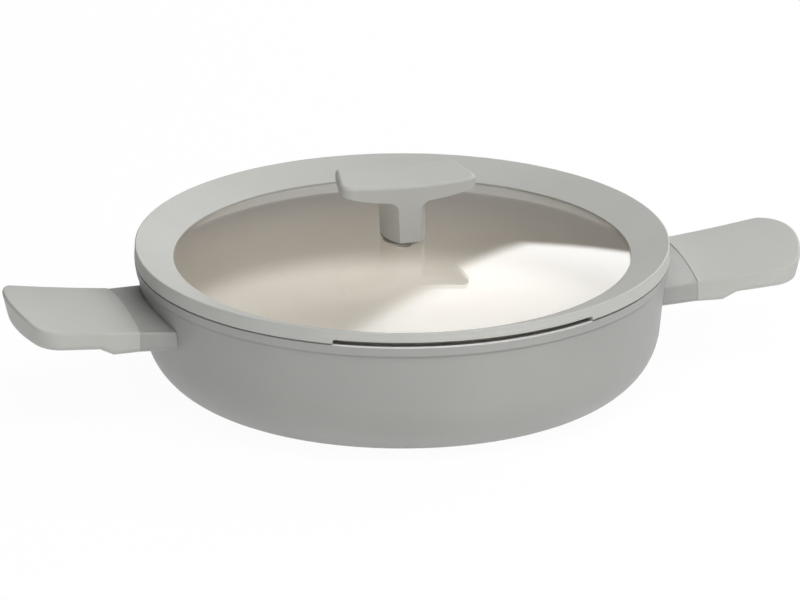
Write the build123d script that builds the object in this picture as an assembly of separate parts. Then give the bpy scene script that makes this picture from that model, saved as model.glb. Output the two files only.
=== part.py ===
from build123d import *
import os
from math import cos, radians, sin, sqrt, tan

# Saute pan with a glass lid, two tongue-shaped side grips and a gull-wing lid knob.
# Millimetres, +Z up. The origin is the centre of the pan's base on the table.
# +X runs along the grips, and the pouring slot of the lid faces -Y.

# Pan body
pan_height = 71.2
rim_radius = 147.4
rim_round = 0.9
collar_height = 6.8
collar_inset = 0.9
collar_round = 1.0
wall_inset = 1.1
wall_taper = 6.3
wall_thickness = 4.2
corner_radius = 35.0
base_thickness = 5.2
inner_corner_inset = 5.0
inner_rim_round = 1.2

# Induction plate, pressed into the underside of the base
plate_margin = 15.0
plate_thickness = 1.0
plate_edge_round = 0.3
plate_bore_radius = 9.0
plate_groove_width = 1.2
plate_groove_depth = 0.4
plate_groove_count = 3

# Silicone lid rim
lid_inset = 0.4
skirt_round = 0.6
lid_edge_round = 0.6
band_width = 21.1
band_drop = 7.6
plug_clearance = 1.0
plug_round = 1.2

# Pouring slot, a notch between the skirt of the lid and the rim of the pan
slot_height = 2.6
slot_cover = 5.7
slot_half_angle = 30.0
slot_end_round = 1.3
slot_back_wall = 1.5

# Domed glass and the groove of the rim that cradles its edge
glass_overlap = 7.6
glass_thickness = 4.0
glass_rise = 13.0
glass_lip = 0.6
glass_edge_round = 1.5
cradle_width = 3.5
cradle_floor = 1.2

# Knob: a gull wing on a barrel-shaped stem
knob_length = 79.0
knob_depth = 35.0
knob_end_flare = 6.0
stem_height = 23.4
stem_front_width = 13.6
stem_bulge = 5.9
stem_waist_shrink = 1.0
stem_fillet = 5.0
wing_thickness = 9.6
wing_tip_rise = 2.3
wing_tip_thickness = 5.7
wing_mid_rise = 2.2
wing_mid_share = 0.63
knob_front_corner_radius = 6.0
knob_back_corner_radius = 3.0
knob_edge_round = 2.0

# Knob fastening
gasket_thickness = 0.8
gasket_margin = 0.3
lower_gasket_thickness = 1.5
lower_gasket_margin = 2.5
sleeve_wall = 1.6
bore_clearance = 0.2
insert_wall = 2.1
insert_flange_reach = 1.9
insert_flange_thickness = 1.2
insert_spare_length = 5.5
insert_groove_width = 1.6
insert_groove_depth = 0.5
insert_groove_shares = (1 / 3, 2 / 3)
knob_screw_radius = 2.5
knob_screw_engagement = 9.5
screw_head_radius = 5.2
screw_head_height = 3.4
screw_head_round = 1.6
drive_width = 1.3
drive_length = 5.6
drive_depth = 1.8
washer_margin = 2.8
washer_thickness = 1.2

# Side grips, measured outwards from the wall of the pan and then from the joint with the neck
neck_sink = 6.4
neck_flare = 2.6
neck_length = 13.1
joint_half_width = 37.2
flare_reach = 25.5
grip_flare = 1.6
grip_length = 64.7
grip_tip_flare = 4.0
grip_tip_sag = 8.2
grip_tip_lean = 14.0
grip_front_corner_radius = 14.0
grip_back_corner_radius = 4.5
step_reach = 14.5
step_length = 8.0
step_round = 3.5
step_rise = 4.0
grip_top_round = 1.3
grip_under_round = 3.4

# Heights of the grips, from the rim of the pan down to the nose and up from there
nose_drop = 29.0
grip_top_cover = 2.9
grip_crown_radius = 179.0
crest_mid_reach = 31.5
crest_mid_rise = 3.7
crest_tip_rise = 9.0
underside_tip_rise = 8.2

# Bracket under each grip, with its screw and lock washer
bracket_width = 26.0
bracket_thickness = 6.0
bracket_reach = 23.5
bracket_end_round = 4.0
foot_side_margin = 4.0
foot_margin = 1.0
foot_depth = 4.0
screw_reach = 10.5
screw_land = 2.4
screw_head_recess = 0.3
screw_tip_gap = 1.0
grip_screw_radius = 2.4
grip_screw_head_radius = 4.2
grip_screw_head_height = 3.0
grip_screw_head_round = 1.0
lock_washer_margin = 0.4
lock_washer_thickness = 1.1

# Clearances
running_gap = 0.1
thread_gap = 0.05
overrun = 5.0

# Radii and levels of the pan that follow from the sizes above
collar_radius = rim_radius - collar_inset
collar_bottom = pan_height - collar_height
wall_radius = collar_radius - wall_inset
taper_slope = tan(radians(wall_taper))

# Radii and levels of the lid
lid_radius = rim_radius - lid_inset
slot_top = pan_height + slot_height
lid_top = slot_top + slot_cover
band_inner_radius = lid_radius - band_width
glass_radius = band_inner_radius + glass_overlap
glass_edge_level = lid_top - band_drop - glass_lip
glass_top = glass_edge_level + glass_rise
dome_radius = (band_inner_radius**2 + glass_rise**2) / (2 * glass_rise)
plug_inner_radius = glass_radius - cradle_width

# The stack through the glass, from the stem of the knob down to the head of its screw
stem_bottom = glass_top + gasket_thickness
stem_top = stem_bottom + stem_height
lower_gasket_top = glass_top - glass_thickness
washer_top = lower_gasket_top - lower_gasket_thickness
head_top = washer_top - washer_thickness
sleeve_radius = knob_screw_radius + sleeve_wall
insert_radius = knob_screw_radius + insert_wall
insert_top = stem_bottom + knob_screw_engagement + insert_spare_length
washer_radius = screw_head_radius + washer_margin

# Places along a grip and its levels
joint_x = wall_radius + neck_length
grip_tip_x = joint_x + grip_length
step_x = joint_x + step_reach
screw_x = joint_x + screw_reach
tip_half_width = joint_half_width + grip_tip_flare
nose_underside = pan_height - nose_drop
lock_washer_underside = nose_underside + screw_head_recess + grip_screw_head_height
counterbore_floor = lock_washer_underside + lock_washer_thickness
bracket_underside = counterbore_floor + screw_land
grip_crest = bracket_underside + bracket_thickness + grip_top_cover


def wall_line(z, inset):
    """Radius of the tapered wall at height z, moved in by inset across the wall."""
    outer = wall_radius - (collar_bottom - z) * taper_slope
    return outer - inset / cos(radians(wall_taper))


def bowl_corner(inset, floor, radius):
    """Start, middle and end of the arc from the tapered wall to the flat floor."""
    slant = radians(wall_taper)
    centre_z = floor + radius
    start_z = centre_z - radius * sin(slant)
    start_r = wall_line(start_z, inset)
    centre_r = start_r - radius * cos(slant)
    half = (radians(90) + slant) / 2
    middle = (centre_r + radius * cos(half), centre_z - radius * sin(half))
    return (start_r, start_z), middle, (centre_r, floor)


def revolved(*edges):
    """A ring or bowl from its half section in the XZ plane."""
    return revolve(make_face(Plane.XZ * (Curve() + list(edges))), Axis.Z)


def disc(radius, low, high):
    """An upright cylinder between two heights."""
    return Pos(0, 0, low) * extrude(Circle(radius), high - low)


def block(x_min, x_max, half_width, low, high):
    """A box along X, centred on the XZ plane."""
    return Pos((x_min + x_max) / 2, 0, (low + high) / 2) * Box(x_max - x_min, 2 * half_width, high - low)


def outer_bowl(grow=0.0):
    """The pan's outside as a filled solid, for the body and for what meets its wall."""
    start, middle, end = bowl_corner(-grow, 0, corner_radius)
    neck_r = wall_line(collar_bottom, -grow)
    top = [
        (neck_r, collar_bottom),
        (collar_radius + grow, collar_bottom + collar_round),
        (rim_radius + grow, pan_height),
        (0, pan_height),
        (0, 0),
        end,
    ]
    return revolved(Line(start, top[0]), Polyline(*top), ThreePointArc(start, middle, end))


def food_space():
    """The inside of the pan."""
    start, middle, end = bowl_corner(wall_thickness, base_thickness, corner_radius - inner_corner_inset)
    top_r = wall_line(pan_height + overrun, wall_thickness)
    top = [(top_r, pan_height + overrun), (0, pan_height + overrun), (0, base_thickness), end]
    return revolved(Line(start, top[0]), Polyline(*top), ThreePointArc(start, middle, end))


def circles_at(part, z, radius):
    """The round edges of a part at one height and about one radius."""
    near = part.edges().filter_by(GeomType.CIRCLE)
    return [e for e in near if abs(e.center().Z - z) < thread_gap and abs(e.radius - radius) < thread_gap]


def plate_radius():
    """The induction plate stays inside the flat of the base."""
    flat = bowl_corner(0, 0, corner_radius)[2]
    return flat[0] - plate_margin


def pan_body():
    """The bowl in one pressing, with the pocket and centre boss that hold the induction plate."""
    body = outer_bowl() - food_space()
    body -= disc(plate_radius() + thread_gap, -overrun, plate_thickness + thread_gap)
    body += disc(plate_bore_radius - thread_gap, 0, plate_thickness + overrun / 2)
    inner_top = wall_line(pan_height, wall_thickness)
    body = fillet(circles_at(body, pan_height, rim_radius), rim_round)
    return fillet(circles_at(body, pan_height, inner_top), inner_rim_round)


def induction_plate():
    radius = plate_radius()
    plate = disc(radius, 0, plate_thickness) - disc(plate_bore_radius, -overrun, overrun)
    for ring in range(plate_groove_count):
        middle = plate_bore_radius + (ring + 1) * (radius - plate_bore_radius) / (plate_groove_count + 1)
        outer = disc(middle + plate_groove_width / 2, -overrun, plate_groove_depth)
        plate -= outer - disc(middle - plate_groove_width / 2, -overrun, overrun)
    return fillet(circles_at(plate, 0, radius), plate_edge_round)


def dome_height(radius):
    """Height of the glass's top surface at a radius from the centre."""
    return glass_top - dome_radius + sqrt(dome_radius**2 - radius**2)


def glass_blank(grow=0.0):
    """The domed glass disc without its bore, for the glass and for the groove that holds it."""
    r = glass_radius + grow
    mid = r / 2
    drop = glass_thickness + grow
    top = ThreePointArc((0, glass_top + grow), (mid, dome_height(mid) + grow), (r, dome_height(r) + grow))
    bottom = ThreePointArc((0, glass_top - drop), (mid, dome_height(mid) - drop), (r, dome_height(r) - drop))
    return revolved(top, Line(top @ 1, bottom @ 1), bottom, Line(bottom @ 0, top @ 0))


def lid_glass():
    glass = glass_blank()
    rims = [e for e in glass.edges().filter_by(GeomType.CIRCLE) if abs(e.radius - glass_radius) < thread_gap]
    glass = fillet(rims, glass_edge_round)
    return glass - disc(sleeve_radius + bore_clearance, 0, glass_top + overrun)


def plug_bottom():
    """The plug reaches below the edge of the glass by the floor of its cradle."""
    return dome_height(glass_radius) - glass_thickness - cradle_floor


def slot_cutter():
    """A curved bar with rounded upper ends that leaves the pouring slot under the skirt."""
    low = plug_bottom() - overrun
    ring = disc(rim_radius + overrun, low, slot_top)
    ring -= disc(glass_radius + slot_back_wall, low - overrun, slot_top + overrun)
    reach = 2 * rim_radius
    side = reach * tan(radians(slot_half_angle))
    sector = make_face(Polyline((0, 0), (side, -reach), (-side, -reach), close=True))
    bar = ring & extrude(sector, lid_top)
    top_ends = [
        e for e in bar.edges().filter_by(GeomType.LINE)
        if abs(e.center().Z - slot_top) < thread_gap
    ]
    return fillet(top_ends, slot_end_round)


def lid_rim():
    """Skirt, inward-falling band and plug in one moulding, grooved for the glass."""
    low = plug_bottom()
    plug_top_r = wall_line(pan_height, wall_thickness) - plug_clearance
    plug_low_r = wall_line(low, wall_thickness) - plug_clearance
    lip = (band_inner_radius, lid_top - band_drop)
    under_lip = (band_inner_radius, glass_edge_level - glass_thickness / 2)
    section = Polyline(
        lip,
        (lid_radius, lid_top),
        (rim_radius, pan_height),
        (plug_top_r, pan_height),
        (plug_low_r, low),
        (plug_inner_radius, low),
        (plug_inner_radius, dome_height(plug_inner_radius) - glass_thickness / 2),
        under_lip,
        close=True,
    )
    ring = revolved(section)
    ring = fillet(circles_at(ring, lid_top, lid_radius), lid_edge_round)
    ring = fillet(circles_at(ring, pan_height, rim_radius), skirt_round)
    ring = fillet(circles_at(ring, low, plug_low_r), plug_round)
    return ring - glass_blank(thread_gap) - slot_cutter()


def wing_profile():
    """Front view of the knob's wing: a dished top and arms that thin towards their tips."""
    half = knob_length / 2
    mid = half * wing_mid_share
    root = stem_front_width / 4
    wing_top = stem_top + wing_thickness
    tip_high = wing_top + wing_tip_rise
    tip_low = tip_high - wing_tip_thickness
    mid_low = stem_top + wing_mid_rise
    top = ThreePointArc((-half, tip_high), (0, wing_top), (half, tip_high))
    right = ThreePointArc((half, tip_low), (mid, mid_low), (root, stem_top))
    left = ThreePointArc((-root, stem_top), (-mid, mid_low), (-half, tip_low))
    sides = [Line(top @ 1, right @ 0), right, Line(right @ 1, left @ 0), left, Line(left @ 1, top @ 0)]
    return make_face(Plane.XZ * (Curve() + [top] + sides))


def knob_plan():
    """Plan outline of the knob, wider at the front, where the fingers pull."""
    front = knob_length / 2
    back = front - knob_end_flare
    deep = knob_depth / 2
    outline = make_face(Polyline((front, -deep), (back, deep), (-back, deep), (-front, -deep), close=True))
    outline = fillet(outline.vertices().filter_by(lambda v: v.Y < 0), knob_front_corner_radius)
    return fillet(outline.vertices().filter_by(lambda v: v.Y > deep - thread_gap), knob_back_corner_radius)


def stem_section(height, shrink):
    """Plan section of the stem: flat front and back, with sides that belly outwards."""
    front = stem_front_width / 2 - shrink
    belly = front + stem_bulge
    deep = knob_depth / 2
    right = ThreePointArc((front, -deep), (belly, 0), (front, deep))
    left = ThreePointArc((-front, deep), (-belly, 0), (-front, -deep))
    outline = Curve() + [right, Line(right @ 1, left @ 0), left, Line(left @ 1, right @ 0)]
    return make_face(Plane.XY.offset(height) * outline)


def knob():
    """The knob in one moulding: wing and stem blended, then the rounded corners and edges."""
    wing = extrude(wing_profile(), knob_depth / 2, both=True)
    wing &= Pos(0, 0, stem_bottom) * extrude(knob_plan(), glass_top)
    sections = [stem_section(stem_bottom, stem_waist_shrink), stem_section(stem_top + stem_fillet, 0)]
    body = wing + loft(sections, ruled=True)
    junction = [
        e for e in body.edges()
        if abs(e.center().Y) < thread_gap
        and stem_front_width / 2 < abs(e.center().X) < stem_front_width / 2 + stem_bulge
        and e.center().Z > (stem_bottom + stem_top) / 2
    ]
    body = fillet(junction, stem_fillet)
    body = fillet(body.faces().sort_by(Axis.Z)[-1].edges(), knob_edge_round)
    body -= disc(insert_radius + thread_gap, stem_bottom - overrun, insert_top + thread_gap)
    flange_top = stem_bottom + insert_flange_thickness
    flange_radius = insert_radius + insert_flange_reach
    return body - disc(flange_radius + thread_gap, stem_bottom - overrun, flange_top + thread_gap)


def knob_insert():
    """Threaded brass insert with a flange and two retaining grooves."""
    body = disc(insert_radius, stem_bottom, insert_top)
    body += disc(insert_radius + insert_flange_reach, stem_bottom, stem_bottom + insert_flange_thickness)
    for share in insert_groove_shares:
        low = stem_bottom + (insert_top - stem_bottom) * share
        groove = disc(insert_radius + overrun, low, low + insert_groove_width)
        body -= groove - disc(insert_radius - insert_groove_depth, low, low + insert_groove_width)
    bore_top = insert_top - insert_flange_thickness
    return body - disc(knob_screw_radius + thread_gap, stem_bottom - overrun, bore_top)


def knob_gasket_upper():
    """Thin seal between the stem and the glass, a little wider than the stem."""
    stem_half = stem_front_width / 2 - stem_waist_shrink + stem_bulge
    ring = disc(stem_half + gasket_margin, glass_top, stem_bottom)
    return ring - disc(sleeve_radius + thread_gap, 0, stem_bottom + overrun)


def knob_gasket_lower():
    """Seal under the glass, with a sleeve that keeps the screw off the edge of the bore."""
    flange = disc(washer_radius + lower_gasket_margin, washer_top, lower_gasket_top)
    flange -= glass_blank(thread_gap)
    sleeve = disc(sleeve_radius, washer_top, stem_bottom - thread_gap)
    return flange + sleeve - disc(knob_screw_radius + running_gap, 0, stem_bottom)


def knob_washer():
    ring = disc(washer_radius, head_top, washer_top)
    return ring - disc(knob_screw_radius + running_gap, 0, stem_bottom)


def cross_drive(low, high):
    """Cross recess for a screwdriver."""
    bar = block(-drive_length / 2, drive_length / 2, drive_width / 2, low, high)
    return bar + Rot(0, 0, 90) * bar


def knob_screw():
    """Pan-head screw that holds the knob from under the glass."""
    low = head_top - screw_head_height
    head = disc(screw_head_radius, low, head_top)
    head = fillet(circles_at(head, low, screw_head_radius), screw_head_round)
    shank = disc(knob_screw_radius, head_top, stem_bottom + knob_screw_engagement)
    return head + shank - cross_drive(low - overrun, low + drive_depth)


def grip_plan():
    """Tongue-shaped plan outline of one grip, with its rounder corner at the front."""
    corner_x = grip_tip_x - grip_tip_sag
    flare_x = joint_x + flare_reach
    flare_half = joint_half_width + grip_flare
    near = Spline((joint_x, -joint_half_width), (flare_x, -flare_half), (corner_x, -tip_half_width))
    far = Spline((corner_x, tip_half_width), (flare_x, flare_half), (joint_x, joint_half_width))
    tip = ThreePointArc(near @ 1, (grip_tip_x, 0), far @ 0)
    outline = make_face(Curve() + [near, tip, far, Line(far @ 1, near @ 0)])
    front = outline.vertices().filter_by(lambda v: v.X > flare_x and v.Y < 0)
    outline = fillet(front, grip_front_corner_radius)
    back = outline.vertices().filter_by(lambda v: v.X > flare_x and v.Y > flare_half)
    return fillet(back, grip_back_corner_radius)


def neck_root():
    """Inner end of the neck and bracket blanks, inside the wall of the pan."""
    return wall_radius - neck_sink - overrun


def neck_plan():
    """Plan outline of the neck, which widens evenly towards the pan and runs on into its wall."""
    root_x = neck_root() - overrun
    root_half = joint_half_width + neck_flare * (joint_x - root_x) / (neck_length + neck_sink)
    outer = [(joint_x, -joint_half_width), (joint_x, joint_half_width)]
    inner = [(root_x, root_half), (root_x, -root_half)]
    return make_face(Polyline(*outer, *inner, close=True))


def crown_section(x, crest):
    """Upright section at x with a crowned top, wider than the grip."""
    half = tip_half_width + overrun
    drop = grip_crown_radius - sqrt(grip_crown_radius**2 - half**2)
    top = ThreePointArc((half, crest - drop), (0, crest), (-half, crest - drop))
    rest = Polyline(top @ 1, (-half, nose_underside - overrun), (half, nose_underside - overrun), top @ 0)
    return make_face(Plane(origin=(x, 0, 0), x_dir=(0, 1, 0), z_dir=(1, 0, 0)) * (Curve() + [top, rest]))


def crowned(stations):
    """Smooth solid through crowned sections, given as pairs of place and crest height."""
    return loft([crown_section(x, crest) for x, crest in stations])


def grip_side_view():
    """Side view of one grip, with the thicker nose stepping up to the finger rest."""
    top = lid_top + overrun
    end_x = grip_tip_x + overrun
    outline = Polyline(
        (joint_x, nose_underside),
        (step_x, nose_underside),
        (step_x + step_length, nose_underside + step_rise),
        (end_x, nose_underside + underside_tip_rise),
        (end_x, top),
        (joint_x, top),
        close=True,
    )
    face = make_face(Plane.XZ * outline)
    bends = face.vertices().filter_by(lambda v: abs(v.X - step_x) < step_length + overrun)
    return fillet(bends, step_round)


def softened(body, end_xs):
    """Rounds the long top and under edges of a grip or neck, and leaves its end faces sharp."""
    def inside(edge):
        return all(abs(edge.center().X - x) > thread_gap for x in end_xs)
    crest = body.faces().sort_by(Axis.Z)[-1]
    under = [
        e for e in body.edges()
        if inside(e) and abs(e.center().Y) + e.length > joint_half_width
        and e.center().Z < nose_underside + step_rise + overrun
        and e.tangent_at(0).Z**2 < cos(radians(wall_taper))**2
        and e not in crest.edges() and not (e.geom_type == GeomType.LINE and abs(e.center().Y) < overrun)
    ]
    body = fillet(under, grip_under_round)
    crest = body.faces().sort_by(Axis.Z)[-1]
    return fillet([e for e in crest.edges() if inside(e)], grip_top_round)


def grip_screw_holes():
    """Clearance hole and counterbore for the screw under a grip's nose."""
    hole = disc(grip_screw_radius + running_gap, nose_underside - overrun, bracket_underside)
    sink_radius = grip_screw_head_radius + lock_washer_margin + running_gap
    sink = disc(sink_radius, nose_underside - overrun, counterbore_floor)
    return Pos(screw_x, 0, 0) * (hole + sink)


def grip_tongue():
    """The plan outline drawn upwards, so that the end leans outwards as it rises."""
    lean = radians(grip_tip_lean)
    foot = Pos(-(grip_crest + crest_mid_rise) * tan(lean), 0, 0) * grip_plan()
    return extrude(foot, (lid_top + overrun) / cos(lean), dir=(sin(lean), 0, cos(lean)))


def grip():
    """Tongue-shaped grip with a crowned top, a thicker nose and a socket for the bracket."""
    body = grip_tongue()
    body &= extrude(grip_side_view(), tip_half_width + overrun, both=True)
    body &= crowned([
        (joint_x - overrun, grip_crest),
        (joint_x + crest_mid_reach, grip_crest + crest_mid_rise),
        (grip_tip_x + overrun, grip_crest + crest_tip_rise),
    ])
    body = softened(body, [joint_x])
    return body - bracket_bar(running_gap) - grip_screw_holes()


def neck():
    """Flame guard: a hollow sleeve between the wall of the pan and the grip."""
    root_x = neck_root() - overrun
    body = Pos(0, 0, nose_underside) * extrude(neck_plan(), lid_top - nose_underside)
    body &= crowned([(root_x - overrun, grip_crest), (joint_x + overrun, grip_crest)])
    body = softened(body, [joint_x, root_x])
    return body - outer_bowl(running_gap) - bracket_bar(running_gap) - bracket_foot(running_gap)


def bracket_bar(grow=0.0):
    """The flat bar that carries a grip, or the slot for it."""
    low = bracket_underside - grow
    high = bracket_underside + bracket_thickness + grow
    bar = block(neck_root(), joint_x + bracket_reach + grow, bracket_width / 2 + grow, low, high)
    ends = [e for e in bar.edges().filter_by(Axis.Z) if e.center().X > joint_x]
    return fillet(ends, bracket_end_round)


def bracket_foot(grow=0.0):
    """The pad that is welded to the wall of the pan, or the pocket for it."""
    middle = bracket_underside + bracket_thickness / 2
    half_height = bracket_thickness / 2 + foot_margin + grow
    half_width = bracket_width / 2 + foot_side_margin + grow
    reach = wall_line(middle, 0) + foot_depth + grow
    return block(neck_root(), reach, half_width, middle - half_height, middle + half_height)


def bracket():
    """Bar and foot in one casting, shaped to the wall and tapped for the grip's screw."""
    thread = disc(grip_screw_radius + thread_gap, bracket_underside - overrun, lid_top)
    return bracket_bar() + bracket_foot() - outer_bowl(running_gap) - Pos(screw_x, 0, 0) * thread


def grip_screw():
    """Pan-head screw that draws the grip up against the bracket."""
    seat = lock_washer_underside
    low = seat - grip_screw_head_height
    head = disc(grip_screw_head_radius, low, seat)
    head = fillet(circles_at(head, low, grip_screw_head_radius), grip_screw_head_round)
    shank = disc(grip_screw_radius, seat, bracket_underside + bracket_thickness - screw_tip_gap)
    return Pos(screw_x, 0, 0) * (head + shank - cross_drive(low - overrun, low + drive_depth))


def lock_washer():
    """Split spring washer under the head of a grip's screw."""
    low = lock_washer_underside
    radius = grip_screw_head_radius + lock_washer_margin
    ring = disc(radius, low, counterbore_floor)
    ring -= disc(grip_screw_radius + running_gap, low - overrun, lid_top)
    split = Pos(radius, 0, low) * Box(2 * radius, lock_washer_thickness, lid_top)
    return Pos(screw_x, 0, 0) * (ring - split)


pieces = {
    "pan_body": pan_body(),
    "induction_plate": induction_plate(),
    "lid_glass": lid_glass(),
    "lid_rim": lid_rim(),
    "knob": knob(),
    "knob_insert": knob_insert(),
    "knob_screw": knob_screw(),
    "knob_washer": knob_washer(),
    "knob_gasket_upper": knob_gasket_upper(),
    "knob_gasket_lower": knob_gasket_lower(),
}
side_pieces = {
    "bracket": bracket(),
    "neck": neck(),
    "grip": grip(),
    "grip_screw": grip_screw(),
    "lock_washer": lock_washer(),
}
for name, piece in side_pieces.items():
    pieces[name + "_right"] = piece
    pieces[name + "_left"] = mirror(piece, about=Plane.YZ)

os.makedirs("parts", exist_ok=True)
for name, piece in pieces.items():
    export_step(piece, f"parts/{name}.step")
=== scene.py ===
import bpy
import math
from mathutils import Matrix, Vector


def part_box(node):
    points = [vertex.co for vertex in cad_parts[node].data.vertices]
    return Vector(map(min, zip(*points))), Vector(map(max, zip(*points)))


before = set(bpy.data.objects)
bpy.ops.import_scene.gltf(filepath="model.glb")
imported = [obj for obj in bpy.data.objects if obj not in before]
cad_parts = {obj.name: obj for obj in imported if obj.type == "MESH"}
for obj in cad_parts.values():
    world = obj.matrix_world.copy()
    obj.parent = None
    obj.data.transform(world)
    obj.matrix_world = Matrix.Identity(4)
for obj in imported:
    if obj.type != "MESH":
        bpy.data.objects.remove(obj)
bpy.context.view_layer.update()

# Saute pan with a glass lid. Metres, +Z up, the pouring slot of the lid faces -Y.

WHITE = (1.0, 1.0, 1.0, 1.0)

# Camera, a long lens from the front left, aimed a little beside and below the middle of the lid's top
LID_TOP = 0.0795
CAMERA_AZIMUTH = math.radians(15.0)
CAMERA_ELEVATION = math.radians(19.838)
CAMERA_DISTANCE = 14.0
CAMERA_CLIP = (0.5, 200.0)
VIEW_WIDTH = 0.4397
VIEW_SHIFT_RIGHT = -0.001215
VIEW_SHIFT_UP = -0.03198
SENSOR_WIDTH = 36.0

# Floor and world
FLOOR_RADIUS = 40.0
FLOOR_LEVEL = -0.0004
FLOOR_CORNERS = 96
FLOOR_COLOUR = (0.92, 0.92, 0.92, 1.0)
FLOOR_WHITENESS = 0.95
FLOOR_GLOW = 0.16
MIRRORED = 0.278

# Softboxes: name, azimuth and elevation in degrees, brightness
AIM = Vector((0.0, 0.0, 0.05))
SOFTBOX_SIZE = (1.4, 1.2)
SOFTBOX_DISTANCE = 2.4
SOFTBOXES = (
    ("front_middle", 180.0, 28.0, 1.36),
    ("front_right", 135.0, 45.0, 2.42),
    ("front_left_low", 225.0, 12.0, 0.91),
    ("front_high", 180.0, 65.0, 3.33),
)
# Watts that make a square metre of lamp as bright as an emission of 1
WATTS_PER_BRIGHTNESS = 4.0

# Scrim, a lit cloth: it shows right of a soft left edge, whose top leans to the left,
# and above a line that falls to the right from a point
SCRIM_AZIMUTH = 45.0
SCRIM_ELEVATION = 36.0
SCRIM_DISTANCE = 2.5
SCRIM_EDGES = (-1.7, 1.1, -1.3, 1.0)
SCRIM_LEFT_EDGE = -1.045
SCRIM_LEAN = 0.1
SCRIM_LEAN_HEIGHTS = (0.15, 0.75)
SCRIM_CUT = (-1.07, -0.585)
SCRIM_CUT_SLOPE = 1.11
SCRIM_SOFTNESS = (0.04, 0.09)
SCRIM_SOFTNESS_HEIGHTS = (-0.4, 0.5)
SCRIM_RIGHT_FADE = 0.3
SCRIM_BRIGHTNESS = 2.78

# Pan body: heights above the table, how softly its coats meet, and where painted light and shade lie on it
RIM_LIP_BOTTOM = 0.0703
COLLAR_BOTTOM = 0.0648
CERAMIC_BOTTOM = (0.0045, 0.005)
# Heights over which the ceramic turns from a painted lit floor to a painted shaded wall
WALL_SHADE_HEIGHTS = (0.014, 0.028)
COAT_EDGE = 0.0002
COAT_TURN = 0.05
# Painted shade along the bottom edge of the collar: distances from that edge where it is full and where it
# ends, and how dark it gets
PAINTED_CREASE_REACH = (0.0002, 0.0012)
CREASE_SHADE = 0.3
# Painted light and shade on the lip: how far out it must face to be painted lit, and the slot's half angle,
# outside which the lip is painted in shade
LIP_OUTER_FACE = (0.15, 0.3)
SLOT_HALF_ANGLE = math.radians(30.0)
SLOT_END_SOFTNESS = 0.004
NEAR_AXIS = 0.001

# Induction plate
PLATE_BORE_RADIUS = 0.009
PLATE_RING_WIDTH = 0.0007
RIVET_RINGS = 12
RIVET_RADIUS = 0.0016
RIVET_EDGE = 0.08

# Colours of metals and glass
STEEL = ((0.72, 0.72, 0.72, 1.0), (0.55, 0.55, 0.55, 1.0))
BRASS = ((0.78, 0.6, 0.3, 1.0), (0.62, 0.45, 0.2, 1.0))
CAST_ALUMINIUM = ((0.66, 0.66, 0.65, 1.0), (0.52, 0.52, 0.51, 1.0))
PLATE_STEEL = ((0.68, 0.68, 0.67, 1.0), (0.5, 0.5, 0.49, 1.0))
RIVET_ALUMINIUM = (0.76, 0.76, 0.75, 1.0)
GLASS_TINTS = ((0.972, 0.985, 0.978, 1.0), (0.985, 0.993, 0.988, 1.0))
GLASS_SHADOW = (0.985, 0.99, 0.987, 1.0)

# Noise keeps mostly between these values, and a fleck is full where it passes the third
NOISE_LOW = 0.3
NOISE_HIGH = 0.7
FLECK_FULL = 0.75


def new_material(name):
    """A material with an empty node tree, and that tree's output."""
    material = bpy.data.materials.new(name)
    material.use_nodes = True
    tree = material.node_tree
    tree.nodes.clear()
    output = tree.nodes.new("ShaderNodeOutputMaterial")
    return material, tree, output


def add(tree, kind, inputs=(), **settings):
    """A node with its settings, whose inputs are (socket, value or source) pairs."""
    made = tree.nodes.new(kind)
    for name, value in settings.items():
        setattr(made, name, value)
    for socket, value in inputs:
        if isinstance(value, bpy.types.NodeSocket):
            tree.links.new(value, made.inputs[socket])
        else:
            made.inputs[socket].default_value = value
    return made


def point_on(tree):
    """The point of the surface in metres, in the object's own frame."""
    return add(tree, "ShaderNodeTexCoord").outputs["Object"]


def parts_of(tree, vector):
    """The three parts of a vector."""
    return list(add(tree, "ShaderNodeSeparateXYZ", [("Vector", vector)]).outputs)


def maths(tree, operation, *values):
    return add(tree, "ShaderNodeMath", list(enumerate(values)), operation=operation).outputs[0]


def length(tree, first, second):
    """Length of a flat vector from its two parts."""
    first_square = maths(tree, "MULTIPLY", first, first)
    second_square = maths(tree, "MULTIPLY", second, second)
    return maths(tree, "SQRT", maths(tree, "ADD", first_square, second_square))


def from_axis(tree, point):
    """Distance from the Z axis, and the height."""
    x, y, z = parts_of(tree, point)
    return length(tree, x, y), z


def fit(tree, value, low, high, new_low, new_high, smooth=False):
    """value mapped from one range to another, and held at its ends."""
    ends = (("From Min", low), ("From Max", high), ("To Min", new_low), ("To Max", new_high))
    curve = "SMOOTHSTEP" if smooth else "LINEAR"
    return add(tree, "ShaderNodeMapRange", (("Value", value), *ends), interpolation_type=curve).outputs[0]


def rise(tree, value, low, high, smooth=False):
    """0 up to low, 1 from high on."""
    return fit(tree, value, low, high, 0.0, 1.0, smooth)


def noise(tree, point, size, detail=2.0, roughness=0.5):
    """Noise whose blotches are about size metres across."""
    inputs = (("Vector", point), ("Scale", 1.0 / size), ("Detail", detail), ("Roughness", roughness))
    return add(tree, "ShaderNodeTexNoise", inputs).outputs["Fac"]


def spread(tree, pattern, low, high):
    """A noise pattern stretched between two values."""
    return fit(tree, pattern, NOISE_LOW, NOISE_HIGH, low, high)


def blend(tree, factor, first, second):
    """Colour between two colours or sockets."""
    made = add(tree, "ShaderNodeMix", data_type="RGBA")
    for socket, value in ((0, factor), (6, first), (7, second)):
        if isinstance(value, bpy.types.NodeSocket):
            tree.links.new(value, made.inputs[socket])
        else:
            made.inputs[socket].default_value = value
    return made.outputs[2]


def mottled(tree, pattern, first, second):
    """Colour that drifts between two shades with a noise pattern."""
    return blend(tree, spread(tree, pattern, 0.0, 1.0), first, second)


def flecked(tree, pattern, start, share, ground, fleck):
    """Ground colour with flecks where the noise pattern passes start, covered up to a share."""
    return blend(tree, fit(tree, pattern, start, FLECK_FULL, 0.0, share), ground, fleck)


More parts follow.
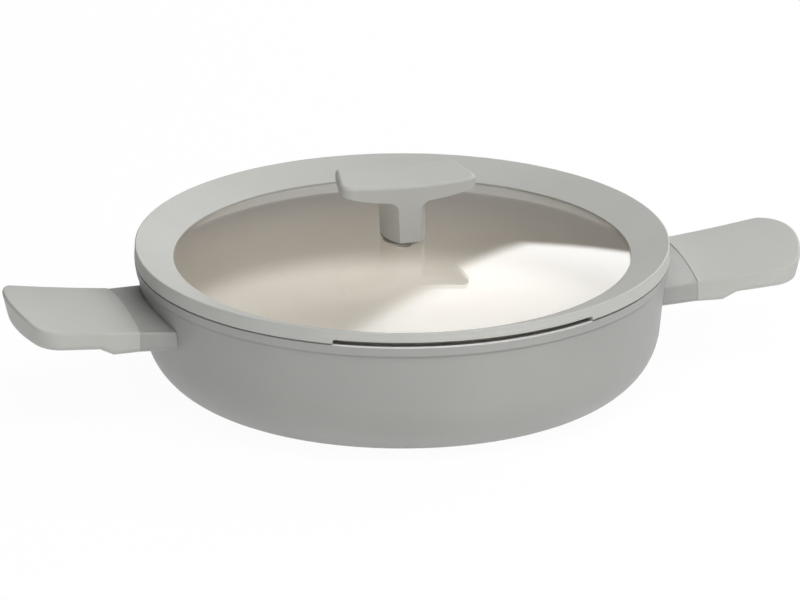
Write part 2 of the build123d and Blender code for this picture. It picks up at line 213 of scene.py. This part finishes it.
def grey(level, warmth=0.0):
    """Linear colour of an sRGB level from 0 to 255, a little yellower with warmth."""
    def linear(c):
        c /= 255.0
        return c / 12.92 if c <= 0.04045 else ((c + 0.055) / 1.055) ** 2.4
    return (linear(level), linear(level), linear(level * (1.0 - warmth)), 1.0)


def srgb(red, green, blue):
    """Linear colour of three sRGB levels from 0 to 255."""
    return (grey(red)[0], grey(green)[0], grey(blue)[0], 1.0)


def bumped(tree, height, distance, strength, onto=None):
    """Normal of a surface with a height pattern, added to another bump where there is one."""
    inputs = [("Height", height), ("Distance", distance), ("Strength", strength)]
    if onto is not None:
        inputs.append(("Normal", onto))
    return add(tree, "ShaderNodeBump", inputs).outputs["Normal"]


def principled(tree, output, colour, rough, normal, **constants):
    """The surface's shader. Constants are set on its sockets, with _ for a space in their names."""
    inputs = [("Base Color", colour), ("Roughness", rough), ("Normal", normal)]
    inputs += [(name.replace("_", " "), value) for name, value in constants.items()]
    shader = add(tree, "ShaderNodeBsdfPrincipled", inputs)
    tree.links.new(shader.outputs[0], output.inputs["Surface"])
    return shader


def between(tree, factor, first, second):
    """Shader between two shaders."""
    return add(tree, "ShaderNodeMixShader", [(0, factor), (1, first.outputs[0]), (2, second.outputs[0])])


def glowing(tree, brightness):
    return add(tree, "ShaderNodeEmission", [("Color", WHITE), ("Strength", brightness)])


def soft_moulding(name, light, dark, grain, rough, sheen):
    """Soft matt surface of a moulded piece: fine grain, faint cloudiness and dust-fine specks."""
    material, tree, output = new_material(name)
    point = point_on(tree)
    cloud = noise(tree, point, size=0.045, detail=3.0)
    fine = noise(tree, point, size=grain)
    dust = noise(tree, point, size=0.0006, detail=1.0)
    colour = mottled(tree, cloud, dark, light)
    colour = flecked(tree, dust, 0.62, 0.12, colour, grey(150, 0.02))
    normal = bumped(tree, fine, distance=0.00004, strength=0.5)
    normal = bumped(tree, cloud, distance=0.0004, strength=0.25, onto=normal)
    principled(tree, output, colour, spread(tree, fine, *rough), normal, Sheen_Weight=sheen,
               Sheen_Roughness=0.45, Specular_IOR_Level=0.35)
    return material


def facing(tree, normal, point, radius):
    """How far a surface faces up, and how far it faces away from the Z axis."""
    right, back, up = parts_of(tree, normal)
    x, y = parts_of(tree, point)[:2]
    outward = maths(tree, "ADD", maths(tree, "MULTIPLY", right, x), maths(tree, "MULTIPLY", back, y))
    return up, maths(tree, "DIVIDE", outward, maths(tree, "MAXIMUM", radius, NEAR_AXIS))


def under_slot(tree, point, radius):
    """1 on the side of the pan where the lid has its pouring slot, 0 elsewhere."""
    front = maths(tree, "MULTIPLY", parts_of(tree, point)[1], -1.0)
    cosine = maths(tree, "DIVIDE", front, maths(tree, "MAXIMUM", radius, NEAR_AXIS))
    slot_end = math.cos(SLOT_HALF_ANGLE)
    return rise(tree, cosine, slot_end - SLOT_END_SOFTNESS, slot_end + SLOT_END_SOFTNESS)


def body_coats():
    """Matt grey paint outside, pale ceramic coat inside, and the bare lip of the rim between them.

    Light and shade are painted in: the ceramic is lighter on the floor than up the wall, a dark shade line
    runs under the collar, and the lip is pale where it shows under the slot and dark in shade elsewhere.
    """
    material, tree, output = new_material("pan_body_coats")
    coords = add(tree, "ShaderNodeTexCoord")
    point = coords.outputs["Object"]
    radius, height = from_axis(tree, point)
    upward, outward = facing(tree, coords.outputs["Normal"], point, radius)
    cloud = noise(tree, point, size=0.06, detail=3.0)
    fleck = noise(tree, point, size=0.0005, roughness=0.6)

    inside = rise(tree, maths(tree, "SUBTRACT", upward, outward), -COAT_TURN, COAT_TURN)
    inside = maths(tree, "MULTIPLY", inside, rise(tree, height, *CERAMIC_BOTTOM))
    lip = rise(tree, height, RIM_LIP_BOTTOM, RIM_LIP_BOTTOM + COAT_EDGE)
    # Painted light: the lip is pale only under the pouring slot, where it faces out into the light.
    lit_lip = maths(tree, "MULTIPLY", under_slot(tree, point, radius), rise(tree, outward, *LIP_OUTER_FACE))
    # Painted shade: a dark line along the collar's bottom edge, where shade falls under the collar.
    from_crease = maths(tree, "ABSOLUTE", maths(tree, "SUBTRACT", height, COLLAR_BOTTOM))
    painted_crease_shade = fit(tree, from_crease, *PAINTED_CREASE_REACH, CREASE_SHADE, 0.0)

    paint = mottled(tree, cloud, grey(165, 0.018), grey(170, 0.018))
    paint = flecked(tree, fleck, 0.55, 0.25, paint, grey(188, 0.01))
    # Painted light and shade: one ceramic coat, painted lighter on the floor where light falls and darker up
    # the wall, which lies in shade.
    lit_floor_ceramic = mottled(tree, cloud, srgb(243, 234, 223), srgb(246, 238, 228))
    shaded_wall_ceramic = mottled(tree, cloud, srgb(191, 181, 168), srgb(196, 187, 174))
    ceramic = blend(tree, rise(tree, height, *WALL_SHADE_HEIGHTS, smooth=True), lit_floor_ceramic, shaded_wall_ceramic)
    ceramic = flecked(tree, fleck, 0.6, 0.3, ceramic, srgb(180, 172, 160))
    colour = blend(tree, inside, paint, ceramic)
    # The painted shade line under the collar darkens the colour here.
    colour = blend(tree, painted_crease_shade, colour, grey(90, 0.01))
    # Painted light and shade on the lip: pale under the slot, and a painted dark shade in the groove under
    # the lid everywhere else.
    colour = blend(tree, lip, colour, blend(tree, lit_lip, grey(118, 0.01), grey(215, 0.01)))

    rough_inside = maths(tree, "MULTIPLY", spread(tree, fleck, 0.34, 0.44), inside)
    outside = maths(tree, "SUBTRACT", 1.0, inside)
    rough_outside = maths(tree, "MULTIPLY", spread(tree, fleck, 0.42, 0.55), outside)
    rough = maths(tree, "ADD", rough_inside, rough_outside)
    normal = bumped(tree, fleck, distance=0.00003, strength=0.4)
    normal = bumped(tree, cloud, distance=0.0006, strength=0.2, onto=normal)
    principled(tree, output, colour, rough, normal, Specular_IOR_Level=0.45)
    return material


def tempered_glass():
    """Tempered glass, faintly green in its depth, that lets lamps through to the pan."""
    material, tree, output = new_material("tempered_glass")
    point = point_on(tree)
    ripple = noise(tree, point, size=0.05, detail=1.0)
    smear = noise(tree, point, size=0.02, detail=4.0, roughness=0.65)
    rough = fit(tree, smear, 0.35, 0.75, 0.0, 0.02)
    normal = bumped(tree, ripple, distance=0.0002, strength=0.08)
    tint = blend(tree, smear, *GLASS_TINTS)
    surface = principled(tree, output, tint, rough, normal, Transmission_Weight=1.0, IOR=1.5)
    clear = add(tree, "ShaderNodeBsdfTransparent", [("Color", GLASS_SHADOW)])
    path = add(tree, "ShaderNodeLightPath")
    for ray in ("Is Diffuse Ray", "Is Shadow Ray"):
        surface = between(tree, path.outputs[ray], surface, clear)
    tree.links.new(surface.outputs[0], output.inputs["Surface"])
    return material


def lathe_rings(tree, point, width):
    """Fine rings round the Z axis, as a cutting tool leaves them."""
    radius, height = from_axis(tree, point)
    place = add(tree, "ShaderNodeCombineXYZ", [("X", radius), ("Y", 0.0), ("Z", height)]).outputs[0]
    return noise(tree, place, size=width, detail=3.0, roughness=0.7)


def turned_metal(name, shades, rough, ring_width, centre_x=0.0):
    """Metal turned on a lathe: fine rings round its upright axis, with a satin gloss."""
    material, tree, output = new_material(name)
    light, dark = shades
    inputs = [("Vector", point_on(tree)), ("Location", (-centre_x, 0.0, 0.0))]
    point = add(tree, "ShaderNodeMapping", inputs).outputs[0]
    rings = lathe_rings(tree, point, ring_width)
    cloud = noise(tree, point, size=0.012, detail=3.0)
    colour = blend(tree, rings, dark, light)
    colour = blend(tree, fit(tree, cloud, 0.4, 0.8, 0.0, 0.25), colour, dark)
    both = maths(tree, "ADD", rings, cloud)
    satin = fit(tree, both, 2 * NOISE_LOW, 2 * NOISE_HIGH, *rough)
    normal = bumped(tree, rings, distance=0.00002, strength=0.4)
    principled(tree, output, colour, satin, normal, Metallic=1.0)
    return material


def rivets(tree, point, reach):
    """1 on the round rivets of the plate, which stand in rings a pitch apart, and 0 between them."""
    pitch = (reach - PLATE_BORE_RADIUS) / RIVET_RINGS
    first = PLATE_BORE_RADIUS + pitch / 2
    x, y = parts_of(tree, point)[:2]
    radius = length(tree, x, y)
    ring = maths(tree, "ROUND", maths(tree, "DIVIDE", maths(tree, "SUBTRACT", radius, first), pitch))
    ring_radius = maths(tree, "ADD", maths(tree, "MULTIPLY", ring, pitch), first)
    around = maths(tree, "MULTIPLY", ring_radius, 2.0 * math.pi)
    count = maths(tree, "FLOOR", maths(tree, "DIVIDE", around, pitch))
    turn = maths(tree, "DIVIDE", maths(tree, "ARCTAN2", y, x), 2.0 * math.pi)
    place = maths(tree, "MULTIPLY", turn, count)
    off = maths(tree, "SUBTRACT", place, maths(tree, "ROUND", place))
    along = maths(tree, "DIVIDE", maths(tree, "MULTIPLY", off, around), count)
    across = maths(tree, "SUBTRACT", radius, ring_radius)
    distance = length(tree, along, across)
    edge = RIVET_EDGE * RIVET_RADIUS
    mask = fit(tree, distance, RIVET_RADIUS - edge, RIVET_RADIUS + edge, 1.0, 0.0)
    return maths(tree, "MULTIPLY", mask, rise(tree, radius, PLATE_BORE_RADIUS, first - RIVET_RADIUS))


def riveted_plate():
    """Induction plate: turned steel, with the aluminium of the base pressed through it as rivets."""
    material, tree, output = new_material("plate_steel")
    light, dark = PLATE_STEEL
    point = point_on(tree)
    rings = lathe_rings(tree, point, PLATE_RING_WIDTH)
    cloud = noise(tree, point, size=0.012, detail=3.0)
    mask = rivets(tree, point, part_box("induction_plate")[1].x)
    colour = blend(tree, mask, blend(tree, rings, dark, light), RIVET_ALUMINIUM)
    rough = maths(tree, "ADD", spread(tree, cloud, 0.24, 0.36), maths(tree, "MULTIPLY", mask, 0.12))
    normal = bumped(tree, rings, distance=0.00002, strength=0.4)
    normal = bumped(tree, mask, distance=0.00004, strength=0.6, onto=normal)
    principled(tree, output, colour, rough, normal, Metallic=1.0)
    return material


def bracket_casting():
    """Die-cast aluminium: grainy, with a dull sheen."""
    material, tree, output = new_material("bracket_casting")
    light, dark = CAST_ALUMINIUM
    point = point_on(tree)
    grain = noise(tree, point, size=0.0009, detail=3.0, roughness=0.6)
    cloud = noise(tree, point, size=0.01, detail=3.0)
    colour = blend(tree, cloud, dark, light)
    normal = bumped(tree, grain, distance=0.00008, strength=0.5)
    principled(tree, output, colour, spread(tree, grain, 0.4, 0.62), normal, Metallic=1.0)
    return material


def neck_paint():
    """Satin grey paint of the necks, a little orange-peeled."""
    material, tree, output = new_material("neck_coat")
    point = point_on(tree)
    peel = noise(tree, point, size=0.0016)
    cloud = noise(tree, point, size=0.02, detail=3.0)
    colour = mottled(tree, cloud, grey(163, 0.018), grey(170, 0.018))
    normal = bumped(tree, peel, distance=0.00003, strength=0.5)
    principled(tree, output, colour, spread(tree, peel, 0.38, 0.5), normal, Specular_IOR_Level=0.45)
    return material


def dress(node, material):
    """Gives a CAD node its material."""
    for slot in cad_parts[node].material_slots:
        slot.material = material


def dress_pan():
    """Body, plate, brackets and necks, and the fasteners of the grips."""
    dress("pan_body", body_coats())
    dress("induction_plate", riveted_plate())
    neck = neck_paint()
    casting = bracket_casting()
    for side in ("right", "left"):
        low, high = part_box("grip_screw_" + side)
        middle = (low.x + high.x) / 2
        steel = turned_metal("grip_fastener_steel_" + side, STEEL, rough=(0.2, 0.34), ring_width=0.0003,
                             centre_x=middle)
        dress("grip_screw_" + side, steel)
        dress("lock_washer_" + side, steel)
        dress("bracket_" + side, casting)
        dress("neck_" + side, neck)


def dress_lid():
    """Glass, rim, and the knob with its insert, screw, washer and seals.

    The grips are of the knob's plastic, so they get it here.
    """
    silicone = soft_moulding("rim_silicone", grey(196, 0.022), grey(192, 0.024), grain=0.0005,
                             rough=(0.5, 0.62), sheen=0.06)
    # The seals are a dark grey silicone, darkened further so that the gap under the knob reads as a line of
    # shade: partly painted shade.
    seal = soft_moulding("seal_silicone", grey(136, 0.02), grey(128, 0.02), grain=0.0005,
                         rough=(0.5, 0.62), sheen=0.06)
    plastic = soft_moulding("soft_touch", grey(193, 0.024), grey(189, 0.026), grain=0.0007,
                            rough=(0.52, 0.66), sheen=0.1)
    steel = turned_metal("knob_fastener_steel", STEEL, rough=(0.2, 0.34), ring_width=0.0003)
    brass = turned_metal("insert_brass", BRASS, rough=(0.25, 0.4), ring_width=0.0004)
    dress("lid_glass", tempered_glass())
    dress("lid_rim", silicone)
    dress("knob_insert", brass)
    for node in ("knob_gasket_upper", "knob_gasket_lower"):
        dress(node, seal)
    for node in ("knob_screw", "knob_washer"):
        dress(node, steel)
    for node in ("knob", "grip_right", "grip_left"):
        dress(node, plastic)


def place_camera():
    """A long lens, so far away that the picture is almost without perspective."""
    right = Vector((math.cos(CAMERA_AZIMUTH), -math.sin(CAMERA_AZIMUTH), 0.0))
    forward = Vector((math.sin(CAMERA_AZIMUTH) * math.cos(CAMERA_ELEVATION),
                      math.cos(CAMERA_AZIMUTH) * math.cos(CAMERA_ELEVATION), -math.sin(CAMERA_ELEVATION)))
    up = right.cross(forward)
    target = Vector((0.0, 0.0, LID_TOP)) + right * VIEW_SHIFT_RIGHT + up * VIEW_SHIFT_UP
    data = bpy.data.cameras.new("long_lens")
    data.sensor_width = SENSOR_WIDTH
    data.lens = SENSOR_WIDTH * CAMERA_DISTANCE / VIEW_WIDTH
    data.clip_start, data.clip_end = CAMERA_CLIP
    camera = bpy.data.objects.new("long_lens", data)
    bpy.context.scene.collection.objects.link(camera)
    turn = Matrix((right, up, -forward)).transposed().to_4x4()
    camera.matrix_world = Matrix.Translation(target - forward * CAMERA_DISTANCE) @ turn
    bpy.context.scene.camera = camera


def towards(azimuth, elevation):
    """Direction from the pan. Azimuth is from the back (+Y) towards the right (+X)."""
    azimuth, elevation = math.radians(azimuth), math.radians(elevation)
    level = math.cos(elevation)
    return Vector((math.sin(azimuth) * level, math.cos(azimuth) * level, math.sin(elevation)))


def softbox(name, azimuth, elevation, brightness):
    """A rectangular lamp that faces the pan."""
    out = towards(azimuth, elevation)
    data = bpy.data.lights.new(name, "AREA")
    data.shape = "RECTANGLE"
    data.size, data.size_y = SOFTBOX_SIZE
    data.energy = brightness * data.size * data.size_y * WATTS_PER_BRIGHTNESS
    lamp = bpy.data.objects.new(name, data)
    bpy.context.scene.collection.objects.link(lamp)
    turn = out.to_track_quat("Z", "Y").to_matrix().to_4x4()
    lamp.matrix_world = Matrix.Translation(AIM + out * SOFTBOX_DISTANCE) @ turn
    lamp.visible_camera = False


def flat_sheet(name, points):
    """A sheet with one face through the points."""
    mesh = bpy.data.meshes.new(name)
    mesh.from_pydata(points, [], [tuple(range(len(points)))])
    sheet = bpy.data.objects.new(name, mesh)
    bpy.context.scene.collection.objects.link(sheet)
    return sheet


def lit_share(tree, right):
    """1 where the scrim's cloth shows, 0 beside it, from the place on its sheet."""
    x, y = parts_of(tree, point_on(tree))[:2]
    lean = fit(tree, y, *SCRIM_LEAN_HEIGHTS, 0.0, SCRIM_LEAN)
    beside = maths(tree, "SUBTRACT", maths(tree, "ADD", x, lean), SCRIM_LEFT_EDGE)
    fall = maths(tree, "MULTIPLY", maths(tree, "SUBTRACT", x, SCRIM_CUT[0]), SCRIM_CUT_SLOPE)
    above = maths(tree, "ADD", maths(tree, "SUBTRACT", y, SCRIM_CUT[1]), fall)
    above = maths(tree, "DIVIDE", above, math.hypot(1.0, SCRIM_CUT_SLOPE))
    softness = fit(tree, y, *SCRIM_SOFTNESS_HEIGHTS, *SCRIM_SOFTNESS)
    past = maths(tree, "DIVIDE", maths(tree, "MINIMUM", beside, above), softness)
    share = rise(tree, past, -1.0, 1.0, smooth=True)
    fade = fit(tree, x, right - SCRIM_RIGHT_FADE, right, 1.0, 0.0, smooth=True)
    return maths(tree, "MULTIPLY", share, fade)


def hang_scrim():
    """A lit cloth behind the pan on the right, whose soft left edge is mirrored in the glass."""
    left, right, bottom, top = SCRIM_EDGES
    scrim = flat_sheet("scrim", [(left, bottom, 0), (right, bottom, 0), (right, top, 0), (left, top, 0)])
    out = towards(SCRIM_AZIMUTH, SCRIM_ELEVATION)
    across = Vector((out.y, -out.x, 0.0)).normalized()
    upward = across.cross(out)
    turn = Matrix((across, upward, across.cross(upward))).transposed().to_4x4()
    scrim.matrix_world = Matrix.Translation(AIM + out * SCRIM_DISTANCE) @ turn
    scrim.visible_camera = False
    material, tree, output = new_material("lit_cloth")
    clear = add(tree, "ShaderNodeBsdfTransparent")
    cloth = between(tree, lit_share(tree, right), clear, glowing(tree, SCRIM_BRIGHTNESS))
    tree.links.new(cloth.outputs[0], output.inputs["Surface"])
    scrim.data.materials.append(material)


def studio_world():
    """White for the camera, a dim grey for rays that a surface mirrors or lets through, dark for the rest."""
    world = bpy.data.worlds.new("studio")
    bpy.context.scene.world = world
    world.use_nodes = True
    tree = world.node_tree
    tree.nodes.clear()
    output = tree.nodes.new("ShaderNodeOutputWorld")
    path = add(tree, "ShaderNodeLightPath")
    dark, dim, white = [add(tree, "ShaderNodeBackground", [("Color", WHITE), ("Strength", strength)])
                        for strength in (0.0, MIRRORED, 1.0)]
    glanced = maths(tree, "MAXIMUM", path.outputs["Is Glossy Ray"], path.outputs["Is Transmission Ray"])
    unseen = between(tree, glanced, dark, dim)
    sky = between(tree, path.outputs["Is Camera Ray"], unseen, white)
    tree.links.new(sky.outputs[0], output.inputs["Surface"])


def lay_floor():
    """A pale round floor that keeps the pan's shadow, is white in the picture and clear from below."""
    angles = [2 * math.pi * i / FLOOR_CORNERS for i in range(FLOOR_CORNERS)]
    points = [(FLOOR_RADIUS * math.cos(a), FLOOR_RADIUS * math.sin(a), FLOOR_LEVEL) for a in angles]
    floor = flat_sheet("floor", points)
    material, tree, output = new_material("pale_floor")
    path = add(tree, "ShaderNodeLightPath")
    seen = maths(tree, "MAXIMUM", path.outputs["Is Camera Ray"], path.outputs["Is Transmission Ray"])
    seen = maths(tree, "MAXIMUM", seen, path.outputs["Is Glossy Ray"])
    pale = add(tree, "ShaderNodeBsdfDiffuse", [("Color", FLOOR_COLOUR)])
    lit = add(tree, "ShaderNodeAddShader", [(0, pale.outputs[0]), (1, glowing(tree, FLOOR_GLOW).outputs[0])])
    top = between(tree, maths(tree, "MULTIPLY", seen, FLOOR_WHITENESS), lit, glowing(tree, 1.0))
    clear = add(tree, "ShaderNodeBsdfTransparent")
    below = add(tree, "ShaderNodeNewGeometry").outputs["Backfacing"]
    tree.links.new(between(tree, below, top, clear).outputs[0], output.inputs["Surface"])
    floor.data.materials.append(material)


place_camera()
studio_world()
lay_floor()
for name, azimuth, elevation, brightness in SOFTBOXES:
    softbox(name, azimuth, elevation, brightness)
hang_scrim()
dress_pan()
dress_lid()

bpy.context.scene.view_settings.view_transform = "Standard"
